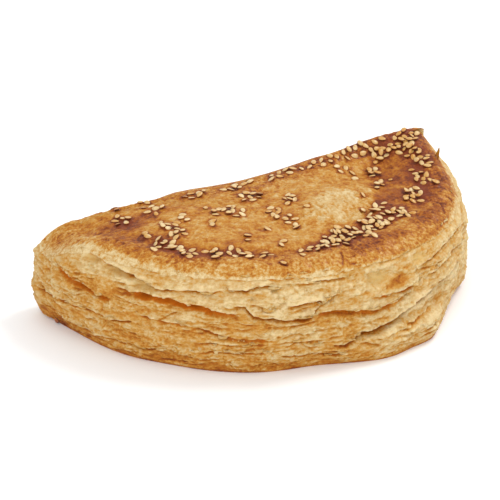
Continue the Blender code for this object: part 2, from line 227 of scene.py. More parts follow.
# Each fold: its line in degrees and millimetres, how far the leaf stands out, how far up that fades,
# depth and half width of the gap, and how much warm shade is painted in the gap
FOLDS = (
    (((210.5, 25.7), (214, 25.6), (219, 25.8), (224, 25.8), (227.4, 25.2), (231, 24.7), (235, 24),
      (240.6, 22.9), (243.5, 21.3)), 1.8, 3.5, 3.0, 1.1, 1.5),
    (((240, 25.6), (242.7, 25.4), (244.3, 25.1), (245.3, 23.3), (246.4, 21.7), (248.6, 20.9), (251.4, 21.2),
      (254, 20.5), (256, 19.9), (258.8, 19.8), (261, 20.3), (262.7, 21.1)), 1.8, 4.0, 2.4, 0.6, 0.8),
    (((261.5, 21), (264.6, 21.1), (267.1, 20.8), (270, 20.3), (273.7, 19.3), (277.1, 18.5), (280.7, 18.4),
      (284.8, 18.2), (290, 20)), 0.9, 2.5, 1.5, 0.8, 0.7),
    (((272.5, 10.2), (274.2, 11.2), (277, 11.3), (280.7, 11.7), (284.5, 12.2), (287.3, 13.6), (292.5, 16.2),
      (298.9, 18), (307, 18.7), (314, 19.6), (322, 21)), 2.2, 4.0, 5.0, 0.75, 0.9),
    (((266.5, 8.8), (267.8, 8.7), (270.4, 8.3), (272.1, 9.3), (273.9, 10.6), (275.2, 12.7)),
     1.2, 2.5, 1.9, 0.6, 0.6),
    (((217, 28.6), (221, 28.2), (225, 28.8), (233, 29.3), (239, 29.6)), 0.9, 3.0, 1.2, 0.4, 0.3),
    (((238.5, 30), (240, 30.2), (242.3, 30.2), (245.6, 30.8), (248, 31.2), (250.1, 31.4), (251.6, 31.2)),
     1.1, 3.5, 1.7, 0.5, 0.4),
    (((254, 24.9), (257.8, 25.7), (259.7, 25.9), (261.6, 26), (264.6, 26.1), (266.4, 26.5), (270, 27.6)),
     1.8, 4.5, 1.9, 0.8, 0.35),
    (((245.5, 25.8), (247, 25.6), (248.3, 24.9), (250, 24.1), (251.2, 23.4)), 0.5, 1.5, 1.0, 0.4, 0.8),
    (((260.5, 20), (262.5, 23), (266, 26.2)), 0.8, 2.0, 0.9, 0.5, 0.3),
    # Under the crust's lip: the warm shade in this gap is a painted shadow line
    (((247.5, 34.8), (249.4, 34.4), (251.4, 33.9), (252.6, 33.3), (254.6, 33.6), (258, 34.1), (262, 34.2),
      (266.5, 34.3), (270.5, 34.3), (274, 34)), 0.9, 1.8, 1.6, 0.5, 1.0),
    (((255.5, 31.4), (260.5, 31.6), (264, 32.1), (269.5, 31.9), (273, 31.5)), 0.7, 2.0, 1.2, 0.4, 0.5),
    (((281, 33.2), (290, 33.4), (305, 34.4), (317, 34.9), (331, 37), (342, 39.5)), 0.5, 1.8, 0.7, 0.35, 0.25),
    (((187, 24.6), (189.5, 24.2), (193, 23.6), (196.2, 22.6), (200, 21.9), (203.5, 21.4), (207.4, 19.8)),
     1.2, 3.5, 2.8, 1.1, 1.5),
    (((194, 34.2), (198.2, 33.6), (202.3, 33), (206.6, 31.8), (211, 31.6), (214.6, 30.9), (217.4, 29.4),
      (220.3, 28)), 1.9, 4.5, 1.3, 0.8, 0.5),
    (((216, 33), (224, 33.8), (233, 34), (247, 33.6)), 0.5, 2.0, 0.8, 0.35, 0.9),
    (((277, 23), (281, 22.6), (286, 22), (292, 22.4), (297, 23.4)), 0.8, 2.5, 1.2, 0.6, 0.9),
    (((293, 27), (299, 28.2), (307, 29.3), (319, 30.6), (335, 33)), 0.9, 3.5, 1.1, 0.45, 0.35),
    (((297, 23), (303, 24), (309, 24.8), (320, 25.8), (338, 26)), 0.8, 3.0, 1.0, 0.45, 0.5),
    (((214, 17.2), (222, 17.6), (229, 17), (235, 15.6), (242, 13.6), (252, 13)), 0.7, 2.0, 1.0, 0.6, 0.8),
    (((178, 12), (186, 13.6), (196, 13.7), (207, 13.6), (214, 14.6)), 0.6, 2.5, 0.9, 0.5, 0.6),
    (((230, 10.9), (236.7, 11.3), (246.4, 11.8), (251, 11.5)), 0.6, 2.2, 0.9, 0.45, 0.8),
    (((253.9, 10.3), (256.2, 10.7), (257.9, 11.7), (260.8, 9.2), (264.4, 9.6)), 0.7, 2.0, 0.9, 0.4, 0.4),
    (((230, 7.7), (236.7, 8), (243.1, 8.3), (250.3, 8.4)), 0.5, 1.8, 0.8, 0.35, 0.9),
    (((252.2, 6.9), (259.2, 6.5), (268.1, 5), (271.3, 6.2)), 0.6, 1.8, 1.0, 0.45, 0.8),
    (((186, 5), (198, 5.2), (210, 5.6), (224, 6.4)), 0.5, 2.0, 0.7, 0.4, 0.5),
)
FOLDS = tuple((np.array(line).T, *rest) for line, *rest in FOLDS)
# Directions between which the layers show
OPEN_SIDE = (150, 392)


def random_leaves(count, seed):
    """Short leaf edges anywhere along the open side."""
    draw = np.random.default_rng(seed)
    leaves = []
    for _ in range(count):
        middle = draw.uniform(*OPEN_SIDE)
        half = draw.uniform(1.5, 7.5)
        height = draw.uniform(1.5, 36)
        if height > np.interp(middle, *PALE_LINE) + 1 and draw.random() < 0.6:
            continue
        lean = draw.normal(0, 0.9)
        levels = [height - lean, height + draw.normal(0, 0.4), height + lean]
        line = np.array([[middle - half, middle, middle + half], levels])
        stand, fade = draw.uniform(0.12, 0.6), draw.uniform(0.7, 2.6)
        depth, half_width = stand * draw.uniform(0.7, 1.6), draw.uniform(0.25, 0.5)
        leaves.append((line, stand, fade, depth, half_width, draw.uniform(0, 0.7)))
    return leaves


SMALL_LEAVES = 360
LEAVES = list(FOLDS) + random_leaves(SMALL_LEAVES, 11)
print(len(FOLDS), "folds and", len(LEAVES) - len(FOLDS), "small leaves")

# %% [markdown]
# ## From a list of leaves to a surface
# Each leaf edge adds to the outward offset above its line and takes away beneath it. The
# same sum says how deep each gap is, which sets the shade painted in it, and how much warm
# shade it gets; the shader later reads both as point attributes. Real sheets of mesh could
# be stacked instead, but they would cross each other, and one offset can't.

# %% Offset and gaps from the leaves
# A gap deeper than this many millimetres runs on without a break
DEEP_GAP = 4
# Depth past which the shade painted in a gap gets no darker
DARKEST_GAP = 1.6


def leaf_sum(direction, height, way):
    """Outward offset from every leaf, and the shade and warm shade painted in the gaps."""
    offset = np.zeros(height.shape)
    gap_shade = np.zeros(height.shape)
    gap_warm_shade = np.zeros(height.shape)
    waver = 0.6 * grain(way / 7, height / 9, seed=21) + 0.3 * grain(way / 2.1, height / 4, seed=22)
    waver += 0.16 * grain(way / 0.9, height / 2, seed=23)
    broken = np.clip(0.75 + 0.9 * grain(way / 4.5, height / 6, seed=24), 0.15, 1.5)
    for line, stand, fade, depth, half_width, tint in LEAVES:
        first, last = line[0][0], line[0][-1]
        middle = (first + last) / 2
        reach = (last - first) / 2
        apart = turn(direction[0], middle)
        near = np.flatnonzero(np.abs(apart) < reach)
        if not len(near):
            continue
        ends = smooth(0, min(0.35 * reach, 4), reach - np.abs(apart[near]))
        steady = 0.5 if depth > DEEP_GAP else 1
        above = height[:, near] + steady * waver[:, near] - np.interp(middle + apart[near], *line)
        lip = np.exp(-np.maximum(above, 0) / fade) * smooth(-0.25, 0.3, above)
        gap = np.exp(-(((above + half_width) / half_width) ** 2))
        torn = ends * (1 if depth > DEEP_GAP else broken[:, near])
        offset[:, near] += ends * stand * lip - torn * depth * gap
        # Painted shade in the gap, and painted warm shade as the fold's tint sets
        gap_shade[:, near] += torn * gap * min(depth, DARKEST_GAP)
        gap_warm_shade[:, near] += torn * gap * tint * min(depth, DARKEST_GAP)
    return offset, gap_shade, gap_warm_shade


print("the deepest gap is", max(leaf[3] for leaf in LEAVES), "mm")

# %% [markdown]
# ## Torn dough between the leaves
# Between two edges the dough isn't smooth: it has lumps, thin sheets that lie along the
# side, a torn crumb and fibres, and the pale rolls are crinkled upwards. A sculptor would
# brush these in. Here each is noise, stretched the way that kind of dough tears.


# %% Relief of the torn dough
def ridges(x, y, seed):
    """Thin fibres: 1 on a line and 0 beside it."""
    return np.clip(1 - 3.5 * np.abs(grain(x, y, seed=seed)), 0, 1)


def torn_dough(way, height, pale):
    """Relief of the dough between the leaf edges, with the masks that go with it."""
    torn = smooth(-0.1, 0.5, rough(way / 12, height / 4.5, seed=41) + 0.35 * (1 - pale))
    bend = way + 2.4 * grain(way / 6, height / 4, seed=52)
    sway = height + 1.3 * grain(way / 5, height / 4, seed=53)
    crumb = 0.45 - np.abs(rough(bend / 1.5, sway, seed=42))
    web = 0.5 - np.abs(rough(bend / 3.2, sway / 2.2, seed=51))
    sheets = grain(way / 6, sway / 0.75, seed=43) + 0.5 * grain(way / 3, sway / 0.45, seed=44)
    crinkle = grain(bend / 1.1, sway / 3.2, seed=45) + 0.6 * grain(bend / 0.7, sway / 1.6, seed=46)
    lumps = 0.7 * grain(way / 11, height / 7, seed=47) + 0.35 * grain(way / 4, height / 2.6, seed=48)
    fibre = np.maximum(ridges(bend / 2.6, sway / 1.7, 54), ridges(bend / 1.7, sway / 2.6, 55))
    fibre *= smooth(-0.2, 0.5, grain(way / 8, height / 5, seed=56)) * (0.35 + 0.65 * torn)
    leaf, leaf_tone = plates(bend / 15, height / 4.2, 3.5, 49)
    shred, shred_tone = plates(bend / 5, height / 2.0, 2.5, 50)
    relief = lumps + 0.26 * leaf + 0.14 * shred * torn
    relief += 0.18 * sheets * (1 - 0.8 * pale) + 0.13 * crinkle * (0.1 + pale)
    relief += 0.6 * torn * crumb + 0.5 * web * (0.5 + 0.5 * torn) + 0.25 * fibre
    return relief, {"torn": torn, "fibre": fibre, "tone": 0.5 * leaf_tone + 0.5 * shred_tone * torn}


print("torn dough ready")

# %% [markdown]
# ## Hollows, flares, and browner and paler places
# Some features belong to this pastry alone: hollows between the upper leaves, a lowest
# sheet that flares out at the right, a foot that tucks in, and browner or paler places, most
# from the oven and some painted shade. Each is one row of a list, so it can be moved by itself.

# %% Hollows, flares and browned places of this pastry
# Hollows between the upper leaves: direction, height, half width in degrees, half height, depth
HOLLOWS = (
    (199.5, 31.6, 2.6, 1.4, 1.8), (207.6, 30.4, 3.4, 1.5, 2.2), (217.2, 28.2, 3.0, 1.9, 2.4),
    (251.8, 29.8, 0.9, 0.8, 1.4), (281.0, 28.6, 3.4, 2.6, 1.8), (296.0, 30.0, 2.6, 1.6, 1.0),
)
# Flares of the lowest sheet and tucks of the foot: direction, half width in degrees, millimetres
FLARES = ((284, 10, 4.2), (298, 7, 3.8))
FOOT_TUCKS = ((186, 15, 3.2), (224, 10, 1.0), (262, 9, 2.0), (321, 8, 4.5))
# Places that are browner or paler: direction, height, half width in degrees, half height, how much.
# Most baked so; the browner ones low on the left end are also painted shade where the foot tucks in.
BAKED_AND_SHADED_SPOTS = (
    (186, 3, 12, 5, 0.16), (200, 1, 16, 3, 0.08), (226, 1.5, 16, 3, 0.08), (252, 1, 16, 2.5, 0.08),
    (178, 18, 6, 6, -0.08), (187, 14.5, 4, 2.5, -0.15), (192.5, 27.5, 3.5, 1.6, 0.14),
    (198, 22.2, 7, 1.6, 0.28), (210, 14, 3, 1.8, -0.17), (214, 9, 8, 3, 0.06), (211, 28, 4, 1.6, -0.10),
    (219, 24.4, 7, 1.2, 0.12), (228, 18.5, 9, 2.2, -0.12), (230, 13.8, 6, 1.6, 0.12),
    (239, 20.5, 3.5, 2.5, 0.12), (247, 15, 5, 2, -0.15), (259, 14.6, 6, 1.8, -0.13),
    (254, 25, 4, 2.5, -0.14), (260.5, 19, 6, 1.3, 0.14), (272, 18.5, 8, 1.5, 0.08),
    (276, 15.3, 3.5, 1.8, -0.14), (277, 23.8, 3, 1.6, 0.20), (285.5, 25.8, 3.4, 2.2, 0.26),
    (292, 34, 12, 1.6, 0.10), (305, 10, 5, 4, 0.12), (314, 9, 4, 4, 0.12), (306, 22, 12, 9, 0.05),
    (269, 6.5, 2.5, 1.5, 0.20), (265, 10, 9, 2.4, -0.06), (287, 5, 9, 3, -0.10), (300, 6, 12, 5, -0.16),
    (316, 31, 4, 3, 0.10), (325, 29, 3, 2.5, 0.10), (181, 27.5, 6, 2.5, -0.06),
    (182.5, 20.4, 4, 3, -0.06), (186, 3.4, 5, 2.5, 0.08), (187.8, 4.8, 0.9, 1.3, 0.24),
    (227, 5.2, 6, 2, 0.10), (263.5, 13.3, 4, 1.6, -0.10), (281.5, 8, 4, 2.5, -0.14),
    (287.6, 25.7, 2.8, 1.6, 0.16), (311, 14, 6, 4, -0.09),
)


def patch(direction, height, at, level, half_turn, half_height, power):
    """1 in the middle of an oval on the side, and 0 outside it."""
    away = (turn(direction, at) / half_turn) ** 2 + ((height - level) / half_height) ** 2
    return np.exp(-(away**power))


def paleness(direction, height, way):
    """1 on the pale upper rolls and 0 on the golden lower side."""
    line = np.interp(direction, *PALE_LINE) + 1.5 * grain(way / 9, height / 5, seed=31)
    return smooth(-1.5, 2.0, height - line)


def side_offset(direction, height, share, way):
    """Outward offset of the layered side, with the masks that its finish reads."""
    offset, gap_shade, gap_warm_shade = leaf_sum(direction, height, way)
    pale = paleness(direction, height, way)
    hollow_shade = np.zeros(height.shape)
    for *place, deep in HOLLOWS:
        dip = patch(direction, height, *place, power=1.6)
        offset -= deep * dip
        # Where the finish paints shade in the hollow
        hollow_shade = np.maximum(hollow_shade, dip)
    relief, masks = torn_dough(way, height, pale)
    offset += relief
    offset *= smooth(0, 0.05, share) * smooth(0, 0.1, 1 - share)
    offset -= rim_inset(direction) * share**5 + 1.5 * (1 - share) ** 8
    for at, half_width, reach in FLARES:
        offset += reach * hump(direction, at, half_width) * (1 - smooth(8, 12, height))
    for at, half_width, tuck in FOOT_TUCKS:
        offset -= tuck * hump(direction, at, half_width) * (1 - smooth(0, 11, height))
    uneven = 1 + 0.8 * grain(way / 3, height / 2, seed=57)
    spots = np.zeros(height.shape)
    for *place, amount in BAKED_AND_SHADED_SPOTS:
        spots += amount * patch(direction, height, *place, power=1.3) * uneven
    return offset, {**masks, "gap": gap_shade, "gap_warm_shade": gap_warm_shade, "pale": pale, "hollow_shade": hollow_shade, "spots": spots}


print(len(HOLLOWS), "hollows and", len(BAKED_AND_SHADED_SPOTS), "places that baked otherwise")

# %% [markdown]
# ## Meshes from grids
# Each surface is a grid of points, so it starts as a grid from bmesh whose vertices then
# go to their places. Displacing a subdivided cage would do too, but a grid lets the side
# and the crust share their columns. The first and last column lie in the same place, and
# merging doubles there closes the ring.


# %% A grid that takes the shape of an array
def grid_object(name, points, masks=None):
    """A ring from rows by columns of points in millimetres about the arc's centre."""
    rows, columns = points.shape[:2]
    masks = masks or {}
    shape = bmesh.new()
    bmesh.ops.create_grid(shape, x_segments=columns - 1, y_segments=rows - 1, size=1)
    layers = {key: shape.verts.layers.float.new(key) for key in masks}
    places = (points * MM + np.array([*ARC_CENTRE, 0])).reshape(-1, 3)
    flat = {key: value.reshape(-1) for key, value in masks.items()}
    for index, vertex in enumerate(shape.verts):
        vertex.co = places[index]
        for key, layer in layers.items():
            vertex[layer] = flat[key][index]
    bmesh.ops.remove_doubles(shape, verts=shape.verts, dist=1e-7)
    return finished(name, shape)


def finished(name, shape):
    bmesh.ops.recalc_face_normals(shape, faces=shape.faces)
    mesh = bpy.data.meshes.new(name)
    shape.to_mesh(mesh)
    shape.free()
    mesh.shade_smooth()
    made = bpy.data.objects.new(name, mesh)
    bpy.context.scene.collection.objects.link(made)
    print(name, sum(len(face.vertices) - 2 for face in mesh.polygons), "triangles")
    return made


# %% [markdown]
# ## The layered side
# The side is one wall all the way round. Along the open side it carries the leaves, and
# along the fold the dough is whole and rounds over from the crust to the foot.

# %% Build the layered side
SIDE_COLUMNS = 901
SIDE_ROWS = 109
side_way = np.linspace(0, WALKED[-1], SIDE_COLUMNS)
side_share = np.linspace(0, 1, SIDE_ROWS)


def side_points(way, share):
    """Points of the wall and its masks. Share is 0 at the foot and 1 at the rim."""
    direction = direction_at(way)
    closed = fold_side(direction)
    rim = rim_height(direction)
    fall = 1 - share
    height = rim * (share + ((1 + np.cos(np.pi * fall)) / 2 - share) * closed)
    open_offset, masks = side_offset(direction, height, share, way)
    wrapped = -(10 - 3 * fall) * (1 - np.sin(np.pi * fall))
    wrapped = wrapped + 0.25 * rough(way / 11, height / 8, seed=51)
    wrapped = wrapped * (share > 0)
    offset = open_offset + (wrapped - open_offset) * closed
    edge_x, edge_y = outline(direction)
    normal_x, normal_y = outward(direction)
    points = np.stack([edge_x + normal_x * offset, edge_y + normal_y * offset, height], -1)
    masks = {key: value * (1 - closed) for key, value in masks.items()}
    masks["wrapped"] = closed
    masks["share"] = share
    return points, masks


wall_points, wall_masks = side_points(*np.meshgrid(side_way, side_share))
wall_points[:, -1] = wall_points[:, 0]
wall_stand = np.hypot(wall_points[..., 0], wall_points[..., 1])
# Painted light and shade on the relief: the finish makes raised places paler and sunk ones darker
wall_masks["ridge_shading"] = np.clip(standing(wall_stand, 2, 2) / 0.22, -1.6, 1.6)
wall_masks["bulge_shading"] = np.clip(standing(wall_stand, 8, 8) / 0.8, -1.6, 1.6)
layered_side = grid_object("layered_side", wall_points, wall_masks)

# %% [markdown]
# ## The sesame's places
# The baker threw the seeds in handfuls, so they lie in clumps. A particle system would
# scatter them, but here each clump is a leaning oval with its own count, as the photograph
# shows it. A seed that would land on another is drawn again, and after half of the tries
# it may lie closer. A second handful lies on the thickest clumps. The crust needs the
# places too, because the glaze browned around seeds.

# %% Clumps of sesame
# Millimetres from the arc's centre: x, y, half length, half width, lean in degrees, how many
SESAME_CLUMPS = (
    (60, -1, 6, 2.5, 10, 13), (60, -8, 7, 3, 80, 12), (61, -16, 4, 2, 75, 6),
    (50, -3, 5, 3.5, 45, 10), (43, -12, 5, 2, 65, 6), (55, -18, 1, 0.5, 60, 1),
    (56, -27, 4, 2.5, -75, 6), (41, -23, 5, 2, 30, 5), (47, -35, 5, 3, 55, 9),
    (29, -39, 6, 2.5, 30, 7), (35, -45, 6, 3.5, 5, 9), (24, -49, 6, 4, 25, 16),
    (8, -55, 8, 5, 35, 26), (-2, -58, 4, 2, 30, 8), (19, -57, 3, 2, 60, 4),
    (-8, -60, 2, 1.5, 65, 3), (-11, -51, 3, 1, 55, 3), (-17, -64, 1, 0.5, 65, 1),
    (-22, -58, 1, 0.5, 65, 1), (-26, -55, 3, 1.5, 70, 3), (-29, -51, 4, 2.5, -65, 9),
    (-35, -50, 3, 1.5, 65, 3), (-37, -46, 1, 0.5, 70, 2), (-43, -45, 4, 2.5, 70, 8),
    (-48, -35, 4, 3, -50, 9), (-53, -38, 1, 0.5, 70, 1), (-51, -27, 2, 1, 70, 3),
    (-53, -10, 4, 3, -70, 8), (-50, 2, 4, 1, 70, 3), (-55, 5, 1, 0.5, 70, 1),
    (-41, -32, 4, 3, 70, 6), (-41, -24, 4, 3, -65, 6), (-41, -9, 4, 3, -55, 6),
    (-35, -22, 3, 1.5, 70, 3), (-22, -22, 3, 2, 50, 4), (-25, -18, 2, 1, -30, 3),
    (-28, -31, 3, 0.5, 65, 2), (-17, -24, 4, 3.5, 70, 8), (-6, -13, 4, 3.5, 35, 9),
    (-4, -29, 5, 2, 65, 8), (-2, -38, 5, 2, 85, 8), (5, -22, 4, 2, 65, 6),
    (7, -31, 1, 0.5, 65, 1), (-12, -40, 1, 0.5, 65, 1), (-21, -44, 2, 0.5, 65, 2),
    (-41, 2, 3, 1, -25, 3), (-23, -3, 5, 2, 0, 6), (-6, -2, 7, 2, 10, 7),
    (13, -2, 7, 2.5, 10, 8), (27, -2, 7, 2, 10, 7), (41, -1, 6, 2.5, 10, 8),
    (33, -9, 4, 2, -25, 5), (34, -16, 1, 0.5, 65, 1), (29, -31, 2, 0.5, 65, 1),
)
# Seeds that fell on the thickest clumps afterwards, and lie partly on the others
LATE_CLUMPS = (
    (10, -54.5, 7.5, 4, 35, 12), (24, -49, 5.5, 3.5, 25, 7), (1, -58, 5, 2, 30, 4), (36, -44, 5, 3, 5, 4),
    (59, -4, 5, 4, 10, 6), (60, -10, 6, 3, 80, 5), (50, -3, 5, 3, 45, 4), (46, -34, 4, 3, 55, 3),
    (55, -25, 4, 2.5, -75, 3), (-35, -50, 4, 1.5, 65, 3), (-46, -37, 4, 2.5, -50, 3),
    (-20, -58, 4, 1.5, 65, 2),
)
HALF_THE_TRIES = 7


def seed_places(clumps, seed, rooms, places):
    """Adds the place and yaw of each seed, in millimetres and radians, to those that are there."""
    draw = np.random.default_rng(seed)
    places = list(places)
    for x, y, half_length, half_width, lean, count in clumps:
        lean_turn = Matrix.Rotation(math.radians(lean), 2)
        wanted = len(places) + count
        for attempt in range(count * 2 * HALF_THE_TRIES):
            reach = math.sqrt(draw.random())
            swing = draw.random() * math.tau
            inside = Vector((half_length * reach * math.cos(swing), half_width * reach * math.sin(swing)))
            place = Vector((x, y)) + lean_turn @ inside
            room = rooms[attempt // (count * HALF_THE_TRIES)]
            crowded = any((place - other).length < room for other, _ in places)
            if not crowded and len(places) < wanted:
                places.append((place, draw.random() * math.tau))
    return places


SEEDS = seed_places(SESAME_CLUMPS, 6, (2.7, 1.9), ())
SEEDS = seed_places(LATE_CLUMPS, 9, (2.0, 1.5), SEEDS)
print(len(SEEDS), "seeds")

# %% [markdown]
# ## The top crust
# The crust is a fan of rings from the middle out to the rim, and then over it: its ragged
# edge laps a little way down the side, as the real glazed sheet does. The groove and the
# cracks follow lines of points in plan, and the pale dome is a soft oval. A flat grid cut
# to the outline would leave a stepped edge, and rings follow it.

# %% Lay out the crust
# Cracks in the glaze, as lines of x and y from the arc's centre
CRACKS = (
    ((3.4, -65.5), (2.9, -68), (1.6, -70.5)),
    ((5.2, -70.8), (8, -71.4)),
    ((-18.4, -65.2), (-16.6, -66.2)),
    ((53.5, -42), (53.0, -45), (52.0, -48)),
    ((58, -38), (60.5, -41)),
)
# The bottom of the groove, in the same way
GROOVE = (
    (-57, -6), (-54, -17), (-50, -34), (-43, -46), (-26, -53), (-8, -58),
    (6, -54), (22, -49), (36, -46), (47, -40), (54, -26), (60, -10),
)


def away_from_line(x, y, line):
    """Distance to a line of points in plan."""
    best = np.full(x.shape, 1e9)
    for (x0, y0), (x1, y1) in zip(line[:-1], line[1:]):
        step_x, step_y = x1 - x0, y1 - y0
        along = ((x - x0) * step_x + (y - y0) * step_y) / (step_x**2 + step_y**2)
        along = np.clip(along, 0, 1)
        best = np.minimum(best, np.hypot(x - x0 - along * step_x, y - y0 - along * step_y))
    return best


def oval(x, y, at_x, at_y, half_x, half_y, lean):
    """1 in the middle of a leaning oval and 0 outside."""
    c, s = math.cos(math.radians(lean)), math.sin(math.radians(lean))
    u = ((x - at_x) * c + (y - at_y) * s) / half_x
    v = ((y - at_y) * c - (x - at_x) * s) / half_y
    return np.exp(-((u * u + v * v) ** 1.5))


def crust_points(way, reach):
    """Points of the crust and its masks. Reach is 0 in the middle and 1 at the rim."""
    way, reach = np.meshgrid(way, reach)
    direction = direction_at(way)
    edge_x, edge_y = outline(direction)
    normal_x, normal_y = outward(direction)
    rim_x = edge_x - normal_x * rim_inset(direction)
    rim_y = edge_y - normal_y * rim_inset(direction)
    x = MIDDLE[0] + (rim_x - MIDDLE[0]) * reach
    y = MIDDLE[1] + (rim_y - MIDDLE[1]) * reach
    inward = np.hypot(rim_x - x, rim_y - y)
    z = top_height(x, y, direction, reach, inward)
    open_side = 1 - fold_side(direction)
    groove = np.exp(-((away_from_line(x, y, GROOVE) / 3.6) ** 2)) * smooth(0.3, 0.6, reach)
    dome = oval(x, y, 17, -34, 17, 10, 20)
    dent = oval(x, y, 22, -41, 9, 4, 20)
    bare = smooth(0.2, 0.75, dome + dent + 0.3 * rough(x / 6, y / 6, seed=67))
    wrinkles = (grain(x / 1.3, y / 4, seed=61) + 0.6 - 1.6 * np.abs(rough(x / 2.4, y / 3.4, seed=65))) * bare
    blisters = rough(x / 5, y / 5, seed=62) * 0.42 + rough(x / 1.9, y / 1.9, seed=63) * 0.2
    z = z + 1.2 * dome - 1.4 * dent + 0.42 * wrinkles + blisters * (1 - 0.7 * reach**30) - 0.3 * groove
    shoulder = smooth(0.72, 0.9, reach) * open_side
    radial = grain(way / 1.3, inward / 5, seed=64) + 0.8 - 2 * np.abs(grain(way / 4, inward / 7, seed=66))
    z = z + shoulder * 0.2 * radial * smooth(0, 2, inward)
    to_crack = np.minimum.reduce([away_from_line(x, y, line) for line in CRACKS])
    crack = np.exp(-((to_crack / 0.36) ** 2))
    z = z - 0.35 * crack
    masks = {"groove": groove, "dome": bare, "crack": crack, "inward": inward, "wrapped": 1 - open_side}
    return np.stack([x, y, z], -1), masks


CRUST_ROWS = 96
top_points, top_masks = crust_points(side_way, np.linspace(0, 1, CRUST_ROWS) ** 0.85)

# %% [markdown]
# The lap over the rim follows the wall a fraction of a millimetre outside it. How far it
# comes down changes along the edge, which gives the torn line between brown and cream.

# %% Lap the crust over the rim
LAP_ROWS = 9
lap_down = np.linspace(0, 1, LAP_ROWS)
lap_direction = direction_at(side_way)
lap_length = 0.9 + 1.3 * (0.5 + 0.5 * rough(side_way / 9, 0.3, seed=71))
lap_length = np.clip(lap_length + 0.5 * grain(side_way / 1.7, 0.7, seed=72), 0.4, 3.4)
lap_share = 1 - lap_down[:, None] * (lap_length / rim_height(lap_direction))[None, :]
lap, _ = side_points(np.broadcast_to(side_way, lap_share.shape), lap_share)
thick = 0.32 * np.sin(np.pi * lap_down) ** 0.5 - 0.25 * (lap_down > 0.99)
normal = np.stack([*outward(lap_direction), np.zeros(SIDE_COLUMNS)], -1)
lap = lap + thick[:, None, None] * normal[None]
crust_all = np.concatenate([top_points, lap[1:]])
crust_all[:, -1] = crust_all[:, 0]
crust_masks = {}
for name, mask in top_masks.items():
    crust_masks[name] = np.concatenate([mask, np.repeat(mask[-1:], LAP_ROWS - 1, 0)])
crust_masks["inward"][CRUST_ROWS:] = -lap_down[1:, None] * lap_length
print("crust laps", lap_length.min().round(1), "to", lap_length.max().round(1), "mm over the side")

# %% [markdown]
# ## Where the crust browned
# The egg wash pools round each seed and burns a little, so every seed has a dark ring and
# every clump a brown ground. Whole patches of the crust also browned more, and the edge
# frayed to cream. These could be painted by hand on the mesh. As masks computed from the
# places of the seeds, they stay right when a seed moves.

# %% Brown the crust around the seeds
crust_x, crust_y = crust_all[..., 0], crust_all[..., 1]
near_seed = np.full(crust_x.shape, 9.0)
crowd = np.zeros(crust_x.shape)
for place, yaw in SEEDS:
    c, s = math.cos(yaw), math.sin(yaw)
    from_x, from_y = crust_x - place.x, crust_y - place.y
    ring = np.hypot((from_x * c + from_y * s) / 1.55, from_y * c - from_x * s)
    near_seed = np.minimum(near_seed, ring)
    crowd += np.exp(-((np.hypot(from_x, from_y) / 4.5) ** 2))
crust_masks["near_seed"] = 0.4 * np.exp(-((near_seed / 2.2) ** 3)) + 0.6 * np.exp(-((near_seed / 1.35) ** 6))
crust_masks["crowd"] = np.clip(crowd / 6, 0, 1)
print("most seeds close together", crowd.max().round(1))

# %% Browned patches and the frayed edge
# Patches where the glaze browned most: x, y, half length, half width, lean in degrees, how much
DARK_PATCHES = (
    (50, -20, 12, 11, 0, 1), (37, -34, 12, 5, 45, 1), (54, -34, 12, 7, 60, 1), (62, -12, 8, 9, 0, 1),
    (60, -2, 10, 6, 0, 1), (65, -30, 5, 12, 20, 1), (30, -45, 15, 5, 25, 1), (8, -57, 13, 5, 0, 1),
    (47, -48, 14, 5, 40, 1), (20, -62, 14, 4, 20, 1), (-50, -14, 5, 8, -70, 1),
    (-45, -43, 12, 5, -50, 1), (-59.5, -21, 19, 5, -78, 0.6),
)
dark = [strength * oval(crust_x, crust_y, *place) for *place, strength in DARK_PATCHES]
crust_masks["dark"] = np.maximum.reduce(dark)
# Painted light and shade on the crust's relief: raised places paler, sunk ones darker
crust_masks["ridge_shading"] = np.clip(standing(crust_all[..., 2], 2, 2) / 0.1, -1.6, 1.6)
frayed = 2.2 * hump(lap_direction, 200, 26) - 1.1 * hump(lap_direction, 298, 16)
ragged = 1.3 * rough(*np.moveaxis(crust_all / 5, -1, 0), seed=73)
inward = crust_masks["inward"] + ragged * (0.5 + 0.15 * frayed)
faded = smooth(0.5 + 0.95 * frayed, -1.1 + 0.8 * frayed, inward)
crust_masks["faded"] = faded * (1 - crust_masks["wrapped"])
top_crust = grid_object("top_crust", crust_all, crust_masks)

# %% [markdown]
# ## The foot
# The pastry rests on a flat, well browned underside, which nobody sees. One face with many
# corners would close it, but it would be a bad shape for smooth shading, so it is a fan
# of rings from the foot of the wall to the middle.

# %% Build the foot
FOOT_ROWS = 12
foot_share = np.linspace(0, 1, FOOT_ROWS)[:, None, None]
foot_points = wall_points[0][None] * (1 - foot_share) + np.array([*MIDDLE, 0.0]) * foot_share
foot = grid_object("foot", foot_points)

# %% [markdown]
# ## The seeds
# A sesame seed is a flat drop about three millimetres long, with one pointed end. One
# sphere is shaped into that drop, and a copy is laid on the crust for every place, sunk a
# little into the glaze and tilted by its own small amount. A ray cast down on the crust
# finds the surface, so the seeds follow every swell. One browned seed is stuck low on
# the left end.

# %% Shape the sesame
# Half the length, width and thickness of a seed in millimetres
SEED_HALF = (1.5, 0.98, 0.46)


def seed_shape():
    """One seed about the origin, in metres."""
    shape = bmesh.new()
    bmesh.ops.create_uvsphere(shape, u_segments=12, v_segments=8, radius=1)
    bmesh.ops.rotate(shape, verts=shape.verts, matrix=Matrix.Rotation(math.pi / 2, 3, "Y"))
    for vertex in shape.verts:
        x, y, z = vertex.co
        taper = 1 - 0.26 * x - 0.10 * x * x
        thin = 1 - 0.2 * x
        vertex.co = Vector((SEED_HALF[0] * x, SEED_HALF[1] * y * taper, SEED_HALF[2] * z * thin)) * MM
    return shape


